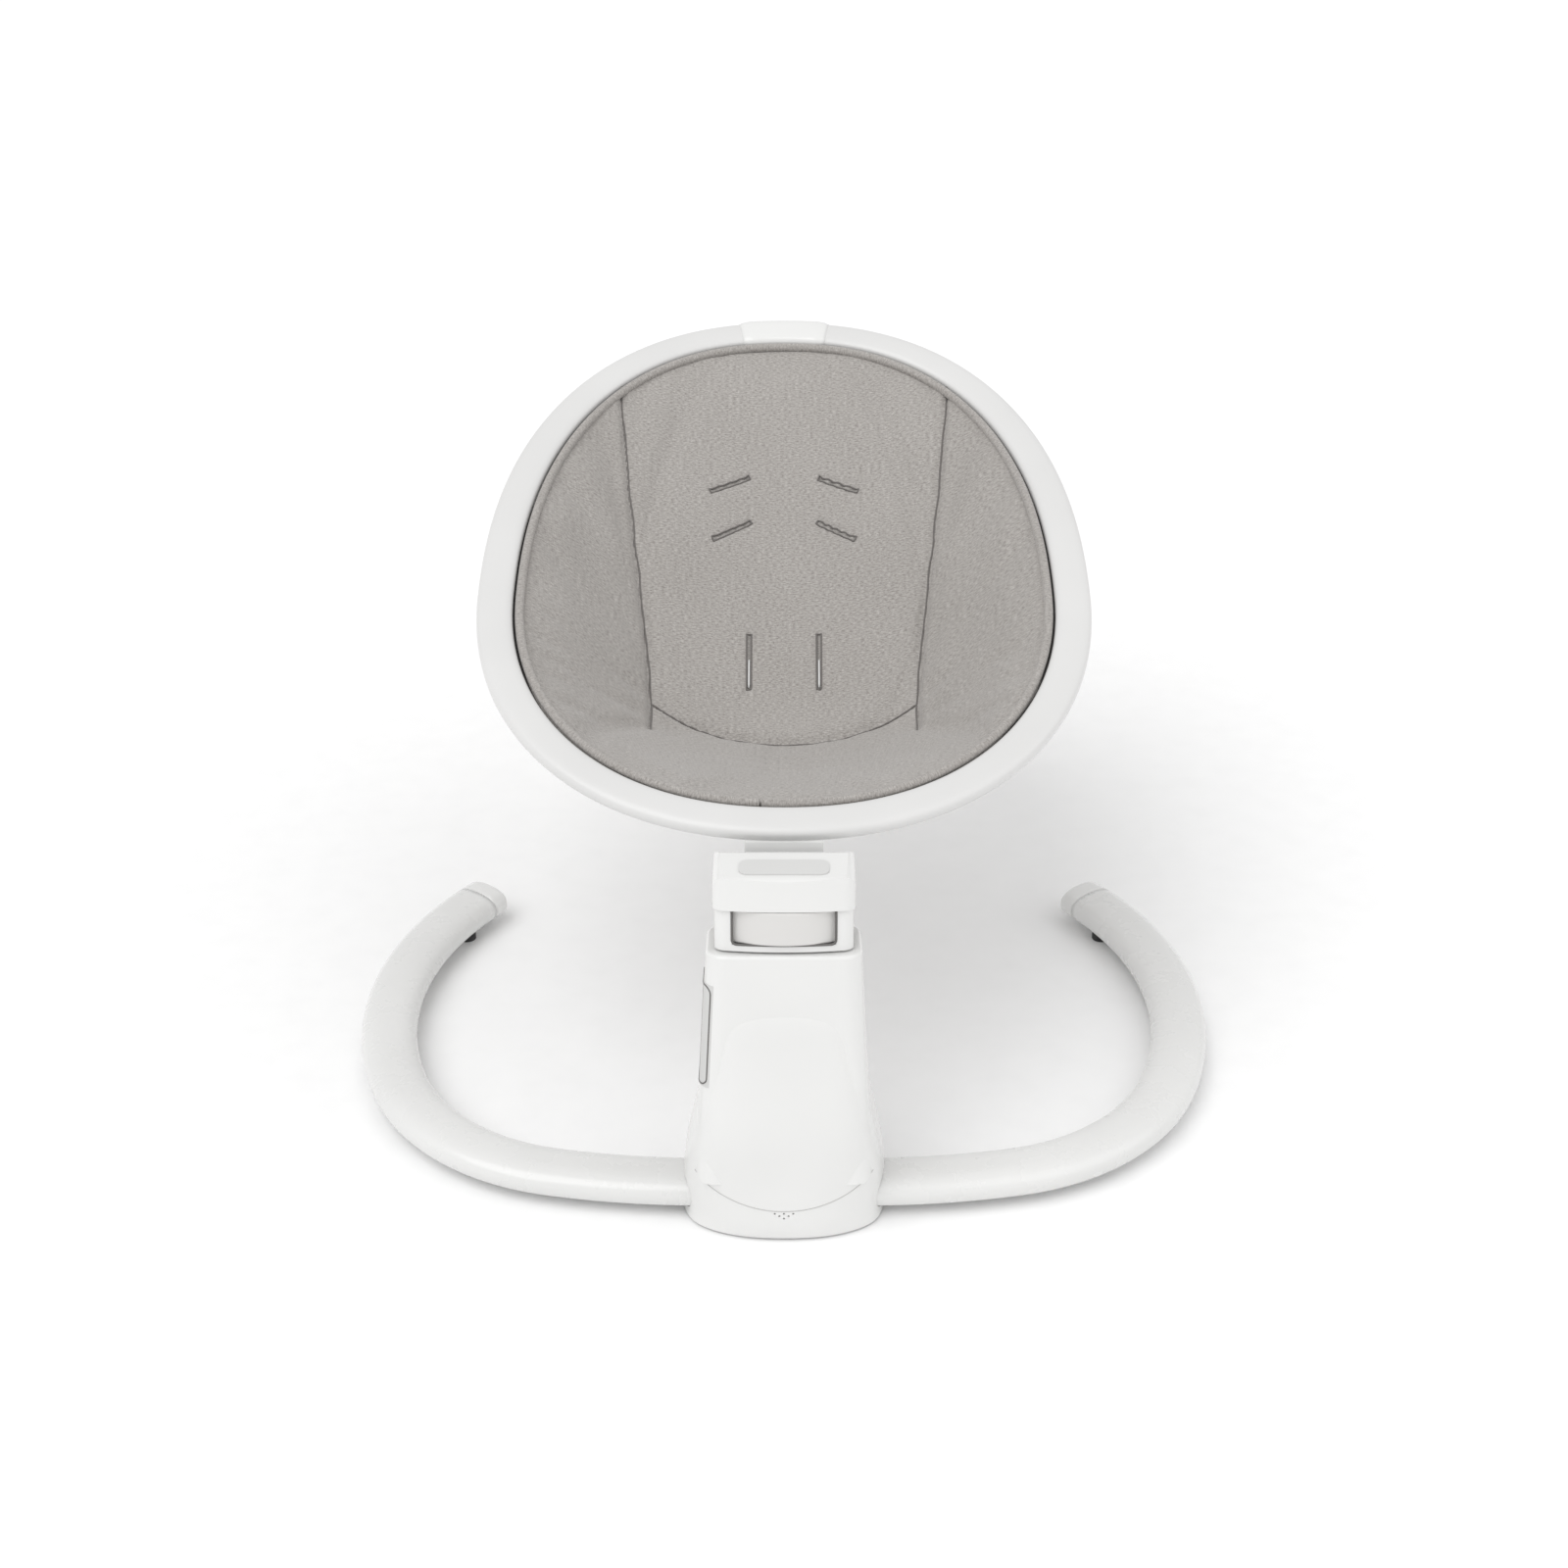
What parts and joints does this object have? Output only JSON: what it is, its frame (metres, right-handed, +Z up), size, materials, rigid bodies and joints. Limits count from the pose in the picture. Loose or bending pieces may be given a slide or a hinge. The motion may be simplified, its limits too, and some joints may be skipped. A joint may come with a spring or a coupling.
{
  "type": "baby swing",
  "caption": "Compact baby swing: padded fabric bucket seat hung in an oval hoop, swaying on a leaning drive column with curved flat-oval floor legs.",
  "frame": {"origin": "on the floor, under the middle of the foot, on the face of its middle rubber pad", "axes": "+Z up, +Y from the foot's front towards the back of the seat, X across; the seat faces -Y"},
  "size_m": [0.6512, 0.684, 0.4267],
  "materials": {
    "white_gloss": "moulded gloss white",
    "leg_white": "gloss white paint",
    "hoop_white": "gloss white paint",
    "button_grey": "satin warm grey",
    "badge_grey": "satin grey",
    "label_film": "matt film",
    "heather_fabric": "heather grey knit",
    "rubber_dark": "matt",
    "chassis_grey": "moulded, matt",
    "steel": "zinc plated",
    "bearing_plastic": "acetal",
    "magnet": "nickel plated",
    "copper": "enamelled winding wire",
    "board_green": "solder mask",
    "black_part": "matt black"
  },
  "bodies": {
    "base": {"foot_pan": "white_gloss", "foot_plate": "white_gloss", "foot_screws": "steel", "foot_pads": "rubber_dark", "leg_tube_right": "leg_white", "leg_tube_left": "leg_white", "leg_end_cap_right": "white_gloss", "leg_end_cap_left": "white_gloss", "rear_feet": "rubber_dark", "column_front_shell": "white_gloss", "column_rear_shell": "white_gloss", "rear_screws": "steel", "dc_jack": "black_part", "blank_label": "label_film", "bearing_frame": "chassis_grey", "upper_bearing": "bearing_plastic", "lower_bearing": "bearing_plastic", "drive_coil": "copper", "coil_core": "steel", "coil_mount": "chassis_grey", "control_board": "board_green", "swing_sensor": "black_part", "power_switch": "black_part", "speaker": "black_part"},
    "power_button": {"power_button": "button_grey"},
    "head": {"head_front_shell": "white_gloss", "head_rear_shell": "white_gloss", "head_cap": "white_gloss", "blank_badge": "badge_grey", "head_chassis": "chassis_grey", "head_screws": "steel", "recline_pin": "steel", "swing_shaft": "steel", "shaft_cross_pin": "steel", "shaft_clip": "steel", "magnet_arm": "chassis_grey", "drive_magnets": "magnet", "encoder_disc": "black_part", "button_springs": "steel", "latch_springs": "steel"},
    "recline_button": {"recline_button": "button_grey"},
    "latch": {"latch_yoke": "chassis_grey"},
    "seat": {"neck_bracket": "white_gloss", "neck_screws": "steel", "seat_hoop": "hoop_white", "hoop_sleeve": "white_gloss", "sleeve_screws": "steel", "seat_fabric": "heather_fabric"}
  },
  "joints": [
    {"name": "seat_sway", "type": "hinge", "parent": "base", "child": "head", "pos_m": [0, -0.0228, 0], "axis": [0, 0.2079, 0.9781], "range_deg": [-14, 14]},
    {"name": "seat_recline", "type": "hinge", "parent": "head", "child": "seat", "pos_m": [0, 0.038, 0.23602], "axis": [1, 0, 0], "range_deg": [-12, 0]},
    {"name": "recline_press", "type": "slide", "parent": "head", "child": "recline_button", "axis": [0, 0.9781, -0.2079], "range_m": [0, 0.004], "stiffness_N_per_m": 400, "springref_m": -0.004, "deforming": ["button_springs"]},
    {"name": "latch_drop", "type": "slide", "parent": "head", "child": "latch", "axis": [0, -0.2079, -0.9781], "range_m": [0, 0.004], "deforming": ["latch_springs"]},
    {"name": "power_press", "type": "slide", "parent": "base", "child": "power_button", "axis": [0, -0.9781, 0.2079], "range_m": [0, 0.0015], "stiffness_N_per_m": 600, "springref_m": -0.001}
  ],
  "couplings": [
    {"joint": "latch_drop", "follows": "recline_press", "ratio": 1}
  ]
}
